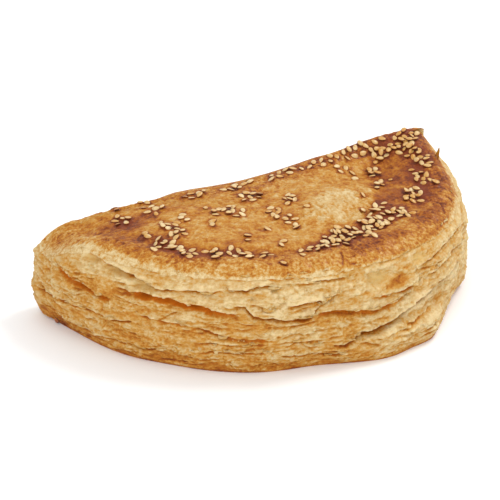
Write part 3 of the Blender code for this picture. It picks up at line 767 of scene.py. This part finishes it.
one_seed = seed_shape()
template = bpy.data.meshes.new("one_seed")
one_seed.to_mesh(template)
one_seed.free()
print("one seed has", len(template.vertices), "points")


# %% Lay the sesame
def wall_at(direction, height):
    """Point and outward direction of the side nearest to a direction and height, in metres."""
    column = int(np.abs(turn(lap_direction, direction)).argmin())
    row = int(np.abs(wall_points[:, column, 2] - height).argmin())
    normal = Vector([*(float(v[column]) for v in outward(lap_direction)), 0])
    return Vector(wall_points[row, column]) * MM + ARC_CENTRE.to_3d(), normal


crust_tree = BVHTree.FromObject(top_crust, bpy.context.evaluated_depsgraph_get())
draw = np.random.default_rng(8)
sesame_shape = bmesh.new()
tone_layer = sesame_shape.verts.layers.float.new("tone")
rim_layer = sesame_shape.verts.layers.float.new("rim")


def lay_seed(spot, up, yaw, tip, size, tone):
    """Adds one seed with its flat side on the surface whose upward direction is given."""
    lie = up.to_track_quat("Z", "Y").to_matrix().to_4x4()
    matrix = Matrix.Translation(spot) @ lie @ Matrix.Rotation(yaw, 4, "Z") @ tip @ Matrix.Scale(size, 4)
    before = len(sesame_shape.verts)
    sesame_shape.from_mesh(template)
    sesame_shape.verts.ensure_lookup_table()
    fresh = sesame_shape.verts[before:]
    for vertex in fresh:
        vertex[tone_layer] = tone
        vertex[rim_layer] = vertex.co.z / (SEED_HALF[2] * MM)
    bmesh.ops.transform(sesame_shape, matrix=matrix, verts=fresh)


laid = []
for place, yaw in SEEDS:
    start = Vector((place.x * MM + ARC_CENTRE.x, place.y * MM + ARC_CENTRE.y, 0.2))
    hit, up, _, _ = crust_tree.ray_cast(start, Vector((0, 0, -1)))
    if hit is None:
        continue
    piled = sum((hit - other).length < 2.4 * MM for other in laid)
    size = draw.uniform(0.86, 1.1)
    tip = Matrix.Rotation(math.radians(9) * draw.normal(), 4, "Y")
    tip = tip @ Matrix.Rotation(math.radians(8) * draw.normal(), 4, "X")
    lift = (0.12 + 0.38 * min(piled, 2)) * MM
    tone = float(np.clip(draw.normal(0.45, 0.22) + 0.4 * smooth(20, 60, place.x), 0, 1))
    lay_seed(hit + up * lift, up, yaw, tip, size, tone)
    laid.append(hit)
stray, away = wall_at(184, 1.3)
lay_seed(stray + away * 0.3 * MM, away, 0.1, Matrix.Identity(4), 1.0, 2.1)
sesame = finished("sesame", sesame_shape)
print(len(laid), "seeds laid on the crust, and one that fell stuck low on the left end")

# %% [markdown]
# ## Loose flakes
# Where a leaf tore it left a thin free edge that dried and curled. Each one here is a
# narrow grid, bent along a curve and thickened, with its root sunk in a fold. A cloth
# simulation would curl them too, but it takes long and gives no say over each flake. They
# follow the named folds, where the dough of this pastry tore, and one larger horn stands
# at the crust's right edge.


# %% Curl and place the flakes
def add_flake(shape, root, out, length, width, droop, curl, draw):
    """Adds one curled leaf whose root edge runs along the side. Lengths are in millimetres."""
    made = bmesh.ops.create_grid(shape, x_segments=6, y_segments=3, size=1)["verts"]
    along = Vector((0, 0, 1)).cross(out)
    wave = draw.uniform(0, 6)
    for vertex in made:
        u, v = vertex.co.x, (vertex.co.y + 1) / 2
        reach = width * v * (1 - 0.55 * u * u + 0.25 * math.sin(4 * u + wave))
        angle = droop + curl * v
        free = out * math.cos(angle) + Vector((0, 0, math.sin(angle)))
        sag = 0.25 * math.sin(3 * u + wave)
        vertex.co = root + (along * (u * length / 2) + free * (reach - 0.3) + Vector((0, 0, sag))) * MM
    faces = list({face for vertex in made for face in vertex.link_faces})
    bmesh.ops.solidify(shape, geom=faces, thickness=0.13 * MM)


FLAKES = 170
flake_draw = np.random.default_rng(31)
flake_shape = bmesh.new()
for _ in range(FLAKES):
    line = FOLDS[flake_draw.integers(len(FOLDS))][0]
    at = flake_draw.uniform(line[0][0], line[0][-1])
    level = float(np.interp(at, *line)) + flake_draw.uniform(-0.4, 1.4)
    root, out = wall_at(at, level)
    length, width = flake_draw.uniform(1.2, 4.5), flake_draw.uniform(0.5, 1.3)
    droop, curl = flake_draw.uniform(-1.3, 0.3), flake_draw.normal(0, 0.9)
    add_flake(flake_shape, root, out, length, width, droop, curl, flake_draw)
horn_root, horn_out = wall_at(348, 44)
horn_start = len(flake_shape.verts)
add_flake(flake_shape, horn_root + Vector((0, 0, 0.6 * MM)), horn_out, 3.6, 2.8, 0.6, 0.7, flake_draw)
# The flakes take the pale rolls' colour, and the painted light of a raised edge
for name, value in {"pale": 0.75, "share": 0.5, "ridge_shading": 0.6}.items():
    layer = flake_shape.verts.layers.float.new(name)
    for vertex in flake_shape.verts:
        vertex[layer] = value
browned = flake_shape.verts.layers.float.new("spots")
flake_shape.verts.ensure_lookup_table()
for vertex in flake_shape.verts[horn_start:]:
    vertex[browned] = 0.4
flakes = finished("flakes", flake_shape)

# %% [markdown]
# ## Finishes
# Dough browns with heat: cream, straw, gold, chestnut. So one colour ramp serves every
# surface, and each finish only decides how far along it a place has baked. The group
# below is that ramp.


# %% The bake ramp as a node group
def srgb(red, green, blue):
    """Linear colour from the 0 to 255 values that a picture shows."""
    values = [v / 255 for v in (red, green, blue)]
    return [v / 12.92 if v <= 0.04045 else ((v + 0.055) / 1.055) ** 2.4 for v in values] + [1]


# The stops are the colours that the photograph shows, darkened a little because the lamps
# light the pastry past white
LIT = 0.81
BAKE_STOPS = (
    (0.00, (236, 210, 158)),
    (0.20, (218, 184, 126)),
    (0.40, (208, 153, 71)),
    (0.60, (188, 117, 36)),
    (0.80, (158, 84, 30)),
    (1.00, (104, 50, 26)),
)


def bake_group():
    group = bpy.data.node_groups.new("bake_ramp", "ShaderNodeTree")
    group.interface.new_socket("Bake", in_out="INPUT", socket_type="NodeSocketFloat")
    group.interface.new_socket("Color", in_out="OUTPUT", socket_type="NodeSocketColor")
    given, made = group.nodes.new("NodeGroupInput"), group.nodes.new("NodeGroupOutput")
    ramp = group.nodes.new("ShaderNodeValToRGB")
    stops = ramp.color_ramp.elements
    while len(stops) < len(BAKE_STOPS):
        stops.new(0.5)
    for stop, (place, colour) in zip(stops, BAKE_STOPS):
        stop.position = place
        stop.color = [value * LIT for value in srgb(*colour)[:3]] + [1]
    group.links.new(given.outputs["Bake"], ramp.inputs["Fac"])
    group.links.new(ramp.outputs["Color"], made.inputs["Color"])
    return group


BAKE_RAMP = bake_group()
print("bake ramp with", len(BAKE_STOPS), "stops")

# %% [markdown]
# A small helper keeps the node work short: it makes a node, sets its fields, and links
# whatever is handed to its inputs.


# %% A helper for nodes
class Nodes:
    """Makes nodes in one material. A value is a number, a socket, or the name of a mask."""

    def __init__(self, name, **inputs):
        self.material = bpy.data.materials.new(name)
        self.material.use_nodes = True
        self.tree = self.material.node_tree
        self.shader = self.tree.nodes["Principled BSDF"]
        for key, value in inputs.items():
            self.feed(self.shader.inputs[key.replace("_", " ")], value)
        self.place = self.make("ShaderNodeTexCoord").outputs["Object"]

    def make(self, kind, fields=None, **links):
        node = self.tree.nodes.new(kind)
        for key, value in (fields or {}).items():
            setattr(node, key, value)
        for key, value in links.items():
            self.feed(node.inputs[key.replace("_", " ")], value)
        return node

    def feed(self, socket, value):
        if isinstance(value, str):
            value = self.make("ShaderNodeAttribute", {"attribute_name": value}).outputs["Fac"]
        if isinstance(value, bpy.types.NodeSocket):
            self.tree.links.new(value, socket)
        else:
            socket.default_value = value

    def sum(self, *terms):
        """Adds weighted values: each term is (value, weight)."""
        total = 0.0
        for value, weight in terms:
            node = self.make("ShaderNodeMath", {"operation": "MULTIPLY_ADD"})
            self.feed(node.inputs[0], value)
            self.feed(node.inputs[1], weight)
            self.feed(node.inputs[2], total)
            total = node.outputs[0]
        return total

    def times(self, first, second):
        node = self.make("ShaderNodeMath", {"operation": "MULTIPLY"})
        self.feed(node.inputs[0], first)
        self.feed(node.inputs[1], second)
        return node.outputs[0]

    def noise(self, size_mm, detail=3.0, roughness=0.55, stretch=(1, 1, 1)):
        """Noise about zero, with features size_mm across."""
        mapping = self.make("ShaderNodeMapping", Vector=self.place, Scale=stretch)
        fields = {"Scale": 1 / (size_mm * MM), "Detail": detail, "Roughness": roughness}
        noise = self.make("ShaderNodeTexNoise", Vector=mapping.outputs[0], **fields)
        return self.sum((noise.outputs["Fac"], 1.0), (1.0, -0.5))

    def span(self, value, low, high, to_low=0.0, to_high=1.0):
        node = self.make("ShaderNodeMapRange", {"interpolation_type": "SMOOTHSTEP"})
        for index, number in enumerate((value, low, high, to_low, to_high)):
            self.feed(node.inputs[index], number)
        return node.outputs[0]

    def mix(self, factor, first, second):
        node = self.make("ShaderNodeMix", {"data_type": "RGBA"})
        self.feed(node.inputs[0], factor)
        self.feed(node.inputs[6], first)
        self.feed(node.inputs[7], second)
        return node.outputs[2]

    def baked(self, amount):
        node = self.make("ShaderNodeGroup", {"node_tree": BAKE_RAMP})
        self.feed(node.inputs["Bake"], amount)
        return node.outputs["Color"]

    def finish(self, colour, relief=None, depth_mm=0.0):
        """Puts a colour and a fine relief on the shader, and gives the material."""
        self.feed(self.shader.inputs["Base Color"], colour)
        if relief is not None:
            bump = self.make("ShaderNodeBump", Height=relief, Strength=1.0, Distance=depth_mm * MM)
            self.feed(self.shader.inputs["Normal"], bump.outputs["Normal"])
        return self.material


print("helper ready")

# %% [markdown]
# ## The crust's finish
# The glaze browned most in the groove and wherever seeds held it, least on the dome that
# stood clear, and fades to cream towards the torn edge. Fine mottling keeps the gold from
# looking painted. A light coat stands for the egg wash. A painted picture would need an
# unwrapped mesh, while masks and noise need none.

# %% Finish of the crust
DARK_GLAZE = srgb(127, 58, 33)


def crust_finish():
    n = Nodes("glazed_crust", Roughness=0.45, Coat_Weight=0.1, Coat_Roughness=0.18, Specular_IOR_Level=0.06)
    blotch = n.noise(14, 5, 0.6)
    mottle = n.noise(3.6, 5, 0.7)
    speck = n.noise(1.1, 4, 0.75)
    groove = n.span(n.sum(("groove", 1.0), (blotch, 1.4), (mottle, 1.4)), 0.2, 0.95)
    glaze_and_crack_shade = n.sum(
        (groove, 0.12),
        ("near_seed", 0.30),
        ("crowd", 0.10),
        ("dark", 0.28),
        # Darker in the cracks: painted shade
        ("crack", 0.20),
    )
    outer = n.span("inward", 18, 7)
    bake = n.sum(
        (0.45, 1.0),
        (glaze_and_crack_shade, 1.0),
        (blotch, 0.55),
        (mottle, 0.95),
        (speck, 0.9),
        (n.times(speck, outer), 0.7),
        ("dome", -0.20),
        ("faded", -0.36),
        # Painted light and shade: paler where the crust stands out, darker where it sinks
        ("ridge_shading", -0.07),
        (outer, 0.06),
    )
    colour = n.mix(n.span(glaze_and_crack_shade, 0.14, 0.6, 0.0, 0.65), n.baked(bake), DARK_GLAZE)
    return n.finish(colour, n.sum((mottle, 0.6), (speck, 0.5)), 1.0)


# %% [markdown]
# ## The layered side's finish
# The rolls that stood clear stayed cream. Lower down the dough is gold, torn places show
# pale crumb among orange, and painted shade darkens the gaps and hollows, with a warm glow
# painted in the gaps. Each mask was made with the geometry, so the colour always sits on the right relief.

# %% Finish of the layered side
# Warm glow painted in the gaps, as of light through the dough
PAINTED_GLOW_AMBER = srgb(196, 108, 12)
# Tan shade painted in the hollows
HOLLOW_SHADE_TAN = srgb(202, 168, 104)
# Light goes a little way into pale dough, and red goes furthest
SOFT_DOUGH = {
    "Subsurface_Weight": 0.12, "Subsurface_Radius": (1.0, 0.5, 0.2), "Subsurface_Scale": 1.5 * MM,
}


def side_finish():
    n = Nodes("flaky_dough", Roughness=0.65, Specular_IOR_Level=0.12, **SOFT_DOUGH)
    streak = n.noise(5, 5, 0.65, (1, 1, 3))
    fine = n.noise(1.6, 5, 0.7, (1, 1, 1.5))
    blotch = n.noise(12, 3, 0.55)
    wrapped = n.times("wrapped", n.span("share", 0.3, 1.0, 0.08, 0.30))
    bake = n.sum(
        (0.425, 1.0),
        ("pale", -0.165),
        (blotch, 0.40),
        (streak, 0.65),
        (fine, 0.95),
        (wrapped, 1.0),
        ("tone", 0.05),
        ("spots", 1.0),
        # Painted light and shade: paler where the wall stands out, darker where it sinks
        ("ridge_shading", -0.08),
        ("bulge_shading", -0.07),
        ("torn", -0.04),
        # Paler fibres: the pale torn dough, and a painted highlight along their raised lines
        ("fibre", -0.16),
        # Painted shade in the gaps, warmer where a fold's tint says so
        ("gap_warm_shade", 0.16),
        ("gap", 0.16),
        (n.span("share", 0.22, 0.0), 0.10),
        (n.span("share", 0.035, 0.0), 0.14),
    )
    colour = n.baked(bake)
    # Painted warm glow in the gaps, plus some orange from the fine noise
    painted_glow = n.span(n.sum(("gap_warm_shade", 1.0), (fine, 2.0)), 0.25, 1.1, 0.0, 0.75)
    colour = n.mix(painted_glow, colour, PAINTED_GLOW_AMBER)
    # Painted shade in the hollows
    colour = n.mix(n.times("hollow_shade", 0.75), colour, HOLLOW_SHADE_TAN)
    return n.finish(colour, n.sum((fine, 0.7), (streak, 0.5)), 0.8)


print("crust and side finishes ready")

# %% [markdown]
# ## The seeds' and the foot's finishes
# Most seeds stayed cream on top and browned where they touch the glaze, with painted shade on
# their lower side. Each has a tone of its own, which its points carry. The foot lay on the tray
# and is evenly brown. Both use the same ramp as the dough, so they belong to the same bake.


# %% The seeds' and the foot's finishes
def sesame_finish():
    n = Nodes("sesame", Roughness=0.4, Coat_Weight=0.15, Coat_Roughness=0.2, Specular_IOR_Level=0.25)
    # Darker towards the seed's underside: browned in the glaze, and painted shade on its lower side
    under = n.span("rim", 0.6, 0.05)
    bake = n.sum((0.02, 1.0), ("tone", 0.38), (under, 0.8), (n.noise(1.1, 3), 0.75))
    return n.finish(n.baked(bake))


def foot_finish():
    n = Nodes("browned_foot", Roughness=0.7)
    bake = n.sum((0.56, 1.0), (n.noise(12, 4), 0.4), (n.noise(2, 4), 0.2))
    return n.finish(n.baked(bake), n.noise(2, 4), 0.4)


print("seeds' and foot's finishes ready")

# %% [markdown]
# ## Dressing the pieces
# The flakes are the same dough as the side, so they share its finish. Every piece rides
# on the one body and replaces the imported solid.

# %% Put the finishes on
top_crust.data.materials.append(crust_finish())
layered_side.data.materials.append(side_finish())
sesame.data.materials.append(sesame_finish())
foot.data.materials.append(foot_finish())
flakes.data.materials.append(layered_side.data.materials[0])
for thing in (top_crust, layered_side, foot, sesame, flakes):
    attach(thing, "root")
    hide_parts("empanada")

# %% [markdown]
# ## Stage, light and camera
# The photograph is a product shot: a white sweep, a soft light from above and behind on
# the right, a wider one from the front on the left, and white all round. Lamps were
# chosen over a lit picture of a studio, because each can be aimed by itself.

# %% Floor and light
scene = bpy.context.scene
floor_shape = bmesh.new()
bmesh.ops.create_grid(floor_shape, x_segments=1, y_segments=1, size=6)
floor = finished("floor", floor_shape)
floor.data.materials.append(Nodes("white_sweep", Roughness=0.9).finish((0.92, 0.92, 0.92, 1)))

world = bpy.data.worlds.new("studio")
scene.world = world
world.use_nodes = True
world.node_tree.nodes["Background"].inputs["Color"].default_value = (1, 1, 1, 1)
world.node_tree.nodes["Background"].inputs["Strength"].default_value = 1.0


def soft_light(name, place, size, power):
    lamp = bpy.data.lights.new(name, "AREA")
    lamp.shape = "DISK"
    lamp.size = size
    lamp.energy = power
    light = bpy.data.objects.new(name, lamp)
    light.location = place
    light.rotation_euler = (Vector((0, 0, 0.02)) - Vector(place)).to_track_quat("-Z", "Y").to_euler()
    scene.collection.objects.link(light)


soft_light("key", (0.6, 0.1, 0.85), 0.4, 4.5)
soft_light("front_fill", (-0.55, -0.8, 0.45), 0.7, 4.0)
scene.view_settings.view_transform = "Standard"

# %% [markdown]
# ## The camera
# The photograph looks down by 24 degrees, a little from the left, through a long lens, so
# the far side hardly shrinks. The lens follows from how many pixels a millimetre takes at
# the pastry. That is steadier than moving the camera by eye.

# %% Camera at the photograph's angle
AZIMUTH = math.radians(-24.5)
ELEVATION = math.radians(24)
DISTANCE = 900
PIXELS_PER_MM = 2.78
PHOTO_WIDTH = 500
SENSOR = 36
# Pixels from the arc's centre up to the middle of the picture
ABOVE_CENTRE = 30.5
level_x, level_y = math.sin(AZIMUTH), -math.cos(AZIMUTH)
back = Vector((level_x * math.cos(ELEVATION), level_y * math.cos(ELEVATION), math.sin(ELEVATION)))
right = Vector((math.cos(AZIMUTH), math.sin(AZIMUTH), 0))
aim = ARC_CENTRE.to_3d() + back.cross(right) * (ABOVE_CENTRE / PIXELS_PER_MM * MM)
lens = bpy.data.cameras.new("camera")
lens.sensor_width = SENSOR
lens.lens = PIXELS_PER_MM * DISTANCE / PHOTO_WIDTH * SENSOR
camera = bpy.data.objects.new("camera", lens)
camera.location = aim + back * (DISTANCE * MM)
camera.rotation_euler = (-back).to_track_quat("-Z", "Y").to_euler()
scene.collection.objects.link(camera)
scene.camera = camera
print("camera at", [round(v, 3) for v in camera.location])
